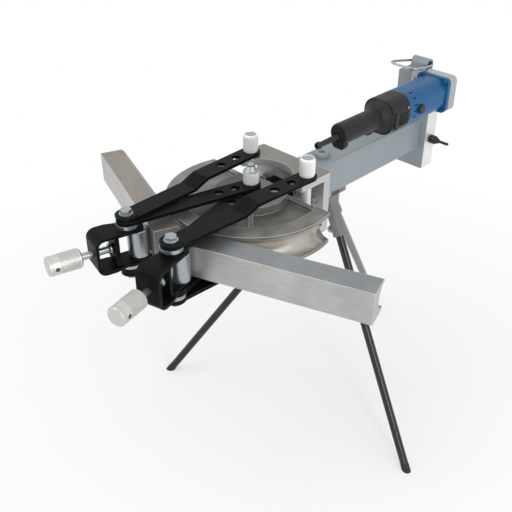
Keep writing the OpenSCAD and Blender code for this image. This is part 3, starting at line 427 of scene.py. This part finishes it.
def straight_knurl(name, base, along, r, length, teeth, body):
    """A sleeve of fine straight ridges round a turned head."""
    run_out = 0.8
    depth = 0.8

    def radius(d, a):
        ease = min(1, d / run_out, (length - d) / run_out)
        return r + KNURL_LIFT + depth * max(0, ease) * (0.5 + 0.5 * math.cos(a * teeth))
    bm = bmesh.new()
    skin(bm, turned(base, along, [0, run_out, length - run_out, length], teeth * 6, radius))
    piece(name, bm, body, "knurled", finish=pin_finish)


def diamond_knurl(name, base, along, r, length, teeth, body):
    """A sleeve of crossed ridges round a knob."""
    pitch = 2 * math.pi * r / teeth
    steps = int(length / pitch * 4)
    depth = 0.6

    def radius(d, a):
        turn = math.pi * d / pitch
        rise = max(0, math.cos(a * teeth / 2 + turn)) * max(0, math.cos(a * teeth / 2 - turn))
        ease = min(1, d, length - d)
        return r + KNURL_LIFT + depth * rise * max(0, ease)
    bm = bmesh.new()
    skin(bm, turned(base, along, [length * i / steps for i in range(steps + 1)], teeth * 4, radius))
    piece(name, bm, body, "knurled")


# Knurls of the three pins and the two knobs, with sizes in millimetres

PIN_R = 17.5
HEAD_PIN_H = 44
SHOE_PIN_H = 36
CAP_H = 14
PIN_TEETH = 32
KNOB_TEETH = 40
DISC_R = 12.8
DISC_DEEP = 1.6
KNOB_R = 21.5
TOMMY_IN = 17
TOMMY_ROOM = 6.5
KNURL_EDGE = 4

for side in ("left", "right"):
    pin = Vector(JOINTS[f"outer_{side}_swing"]["pos_m"])
    top = reach(f"head_pin_{side}", pin, Z)[1]
    straight_knurl(f"head_pin_knurl_{side}", pin + Z * (top - HEAD_PIN_H + KNURL_EDGE) / 1000, Z,
                   PIN_R, HEAD_PIN_H - 2 * KNURL_EDGE, PIN_TEETH, f"head_pin_{side}")
    lathe(f"head_pin_disc_{side}", pin + Z * (top - DISC_DEEP) / 1000, Z,
          [(0, DISC_R), (0.7, DISC_R), (0.9, DISC_R - 0.4)], f"head_pin_{side}", "zinc", 40)
    out = Vector(JOINTS[f"screw_{side}_turn"]["axis"]).normalized()
    inner, outer = reach(f"knob_{side}", SHOE_PIN, out)
    hole = outer - TOMMY_IN
    bands = (("in", inner + KNURL_EDGE, hole - TOMMY_ROOM), ("out", hole + TOMMY_ROOM, outer - KNURL_EDGE))
    for name, low, high in bands:
        diamond_knurl(f"knob_knurl_{name}_{side}", SHOE_PIN + out * low / 1000, out, KNOB_R, high - low,
                      KNOB_TEETH, f"screw_{side}")
shoe_pin_top = reach("shoe_pin", SHOE_PIN, Z)[1] - CAP_H
straight_knurl("shoe_pin_knurl", SHOE_PIN + Z * (shoe_pin_top - SHOE_PIN_H + KNURL_EDGE) / 1000, Z,
               PIN_R, SHOE_PIN_H - 2 * KNURL_EDGE, PIN_TEETH, "shoe_pin")


# Motor details, with sizes in millimetres: collar of the cord sleeve, louvres, boss and screws of the rear
# housing, and middles of the brush caps

MOTOR = Vector(JOINTS["armature_spin"]["pos_m"])
MOTOR_Y = (MOTOR - ORIGIN).y * 1000
MOTOR_Z = (MOTOR - ORIGIN).z * 1000
MOTOR_HALF = reach("rear_housing", MOTOR, -Y)[1]
SLEEVE_DROP = 4
LOUVRE_X = (-40, -8)
LOUVRE_PITCH = 6.4
LOUVRE_HALF = 1.3
LOUVRE_LIFT = 1.8
BOSS_X = (-62, -50)
BOSS_Z = (-26, 14)
BOSS_LIFT = 2.2
RIB_SUNK = 1
SCREW_SUNK = 0.4
BRUSH_SUNK = 0.5
grip_end, joint_x = reach("rear_housing", ORIGIN, X)
# Screws of the rear housing: place along X from its joint, height over the axis, lift off the side, and slot
HOUSING_SCREWS = ((-9, 18, 0, "zinc"), (-56, 8, BOSS_LIFT, "dark_iron"))
lathe("sleeve_collar", row(grip_end, MOTOR_Y, MOTOR_Z - SLEEVE_DROP), -X,
      [(-0.5, 14), (2, 14), (2.8, 13.2), (2.8, 11), (-0.5, 11)], "frame", "black_plastic", 40, False)


def rear_louvres():
    """Level ribs on the near side of the rear housing, and the upright boss beside them towards the grip."""
    bm = bmesh.new()
    near = MOTOR_Y - MOTOR_HALF
    for k in range(-3, 2):
        z = MOTOR_Z + k * LOUVRE_PITCH
        box(bm, (joint_x + LOUVRE_X[0], near - LOUVRE_LIFT, z - LOUVRE_HALF),
            (joint_x + LOUVRE_X[1], near + RIB_SUNK, z + LOUVRE_HALF))
    box(bm, (joint_x + BOSS_X[0], near - BOSS_LIFT, MOTOR_Z + BOSS_Z[0]),
        (joint_x + BOSS_X[1], near + RIB_SUNK, MOTOR_Z + BOSS_Z[1]))
    piece("rear_louvres", bm, "frame", "black_plastic")


rear_louvres()
for k, (x, z, lift, slot) in enumerate(HOUSING_SCREWS):
    screw = row(joint_x + x, MOTOR_Y - MOTOR_HALF - lift + SCREW_SUNK, MOTOR_Z + z)
    lathe(f"housing_screw_{k + 1}", screw, -Y, [(0, 3.2), (1.2, 3.2), (1.5, 2.8)], "frame", slot, 20)
for name, way in (("near", -Y), ("far", Y)):
    edge = reach("brush_caps", MOTOR, way)[1]
    x_low, x_high = reach("brush_caps", ORIGIN, X)
    middle = row((x_low + x_high) / 2, MOTOR_Y, MOTOR_Z) + way * edge / 1000
    lathe(f"brush_middle_{name}", middle - way * BRUSH_SUNK / 1000, way, [(0, 7.2), (0.9, 7.2), (1.2, 6.6)],
          "frame", "dark_iron", 28)


# The black bushes where the bail enters its lug

BAIL = Vector(JOINTS["bail_swing"]["pos_m"])
for name, way in (("near", -Y), ("far", Y)):
    face = reach("bail_lug", BAIL, way)[1]
    lathe(f"bail_bush_{name}", BAIL + way * face / 1000, way,
          [(-0.5, 10), (2, 10), (2.5, 9.5), (2.5, 4.2), (-0.5, 4.2)], "frame", "black_plastic", 32, False)


# Weld seams round both ends of the cylinder body, with sizes in millimetres

BODY_HALF = (40, 45.5)
BODY_EDGE = 4
WELD_R = 2.4
WELD_IN = 0.6
WELD_STEP = 3
WELD_ROUGH = 0.12
WELD_RIPPLE = 2.1


def bead(name, points, r):
    """A weld bead: a rough round seam along a closed line of points across the ram axis."""
    bm = bmesh.new()
    angles = [k * math.pi / 4 for k in range(8)]
    rings = []
    for i, p in enumerate(points):
        ahead = (points[(i + 1) % len(points)] - points[i - 1]).normalized()
        side = ahead.cross(X).normalized()
        size = r * (1 + WELD_ROUGH * math.sin(i * WELD_RIPPLE)) / 1000
        rings.append([p + (side * math.cos(a) + X * math.sin(a)) * size for a in angles])
    skin(bm, rings, False)
    piece(name, bm, "frame", "grey_paint", True)


def seam(x, half_y, half_z, r):
    """Points round a rounded rectangle across the ram axis."""
    points = []
    flat_y, flat_z = half_y - r, half_z - r
    corners = ((flat_y, flat_z), (-flat_y, flat_z), (-flat_y, -flat_z), (flat_y, -flat_z))
    for i, (cy, cz) in enumerate(corners):
        for k in range(5):
            a = math.radians(90 * i + 22.5 * k)
            points.append(row(x, cy + r * math.cos(a), cz + r * math.sin(a)))
        ny, nz = corners[(i + 1) % 4]
        start = points[-1]
        stop = row(x, ny + r * math.cos(a), nz + r * math.sin(a))
        count = max(2, int((stop - start).length * 1000 / WELD_STEP))
        points += [start.lerp(stop, j / count) for j in range(1, count)]
    return points


body_low, body_high = reach("cylinder_body", ORIGIN, X)
bead("body_weld", seam(body_low + WELD_IN, *BODY_HALF, BODY_EDGE), WELD_R)
bead("block_weld", seam(body_high - WELD_IN, *BODY_HALF, BODY_EDGE), WELD_R)


# Floor, light and camera

# Metres from the floor's middle where it starts to turn white and is all white, and how white it starts
FADE_FROM = 0.3
FADE_TO = 1.5
FADE_START = 0.45
# The camera as fitted to the photo: place in millimetres, lens in millimetres, and angles in degrees
CAMERA_PLACE = row(-1221.7, -1085.0, 866.7)
LENS = 52.7
CAMERA_DOWN = 33.4
CAMERA_TURN = -45
# The lights: name, place, target, width, height and power
AIM = (0, 0, 0.6)
LIGHTS = (("key", (-1.4, 0.9, 2.6), AIM, 1.8, 1.8, 16),
          ("fill", (-0.6, -2.6, 1.9), AIM, 2.2, 2.2, 22),
          ("strip", (-0.9, -1.95, 1.0), (0.1, -0.3, 0.4), 0.12, 1.6, 9))


def bright_rays(tree):
    """1 for rays from the camera, and for rays that a metal or a glass reflects or passes."""
    path = tree.nodes.new("ShaderNodeLightPath")
    total = path.outputs["Is Camera Ray"]
    for key in ("Is Glossy Ray", "Is Transmission Ray"):
        both = tree.nodes.new("ShaderNodeMath")
        both.operation = "MAXIMUM"
        tree.links.new(total, both.inputs[0])
        tree.links.new(path.outputs[key], both.inputs[1])
        total = both.outputs[0]
    return total


def stage_floor():
    """A pale floor that keeps the shadow and turns white away from the object."""
    bpy.ops.mesh.primitive_plane_add(size=60, location=(0, 0, 0))
    floor = bpy.context.object
    floor.name = "floor"
    g = Graph("floor")
    g.shader.inputs["Base Color"].default_value = (0.95, 0.95, 0.95, 1)
    g.shader.inputs["Roughness"].default_value = 0.9
    x, y = g.parts(g.coords)[:2]
    fade = g.spread(g.distance(x, y), FADE_FROM, FADE_TO, FADE_START, 1)
    away = g.math("MULTIPLY", fade, bright_rays(g.tree))
    white = g.add("ShaderNodeEmission")
    blend = g.add("ShaderNodeMixShader")
    g.join(away, blend.inputs[0])
    g.join(g.shader.outputs[0], blend.inputs[1])
    g.join(white.outputs[0], blend.inputs[2])
    g.join(blend.outputs[0], g.tree.nodes["Material Output"].inputs["Surface"])
    floor.data.materials.append(g.mat)


def area_light(name, place, target, width, height, power):
    """A flat lamp that looks at its target."""
    light = bpy.data.lights.new(name, "AREA")
    light.shape = "RECTANGLE"
    light.size = width
    light.size_y = height
    light.energy = power
    obj = bpy.data.objects.new(name, light)
    bpy.context.scene.collection.objects.link(obj)
    obj.location = place
    obj.rotation_euler = (Vector(target) - Vector(place)).to_track_quat("-Z", "Y").to_euler()


def white_world():
    """A soft even light, and plain white for the camera and for mirror rays."""
    world = bpy.data.worlds.new("studio")
    bpy.context.scene.world = world
    world.use_nodes = True
    tree = world.node_tree
    tree.nodes.clear()
    out = tree.nodes.new("ShaderNodeOutputWorld")
    mix = tree.nodes.new("ShaderNodeMixShader")
    soft = tree.nodes.new("ShaderNodeBackground")
    soft.inputs["Color"].default_value = (0.97, 0.98, 1, 1)
    soft.inputs["Strength"].default_value = 0.7
    white = tree.nodes.new("ShaderNodeBackground")
    white.inputs["Color"].default_value = (1, 1, 1, 1)
    tree.links.new(bright_rays(tree), mix.inputs[0])
    tree.links.new(soft.outputs[0], mix.inputs[1])
    tree.links.new(white.outputs[0], mix.inputs[2])
    tree.links.new(mix.outputs[0], out.inputs["Surface"])


def photo_camera():
    """The camera of the photo."""
    data = bpy.data.cameras.new("camera")
    data.sensor_width = 36
    data.lens = LENS
    camera = bpy.data.objects.new("camera", data)
    bpy.context.scene.collection.objects.link(camera)
    camera.location = CAMERA_PLACE
    camera.rotation_euler = (math.radians(90 - CAMERA_DOWN), 0, math.radians(CAMERA_TURN))
    bpy.context.scene.camera = camera


stage_floor()
white_world()
for lamp in LIGHTS:
    area_light(*lamp)
photo_camera()
bpy.context.scene.view_settings.view_transform = "Standard"
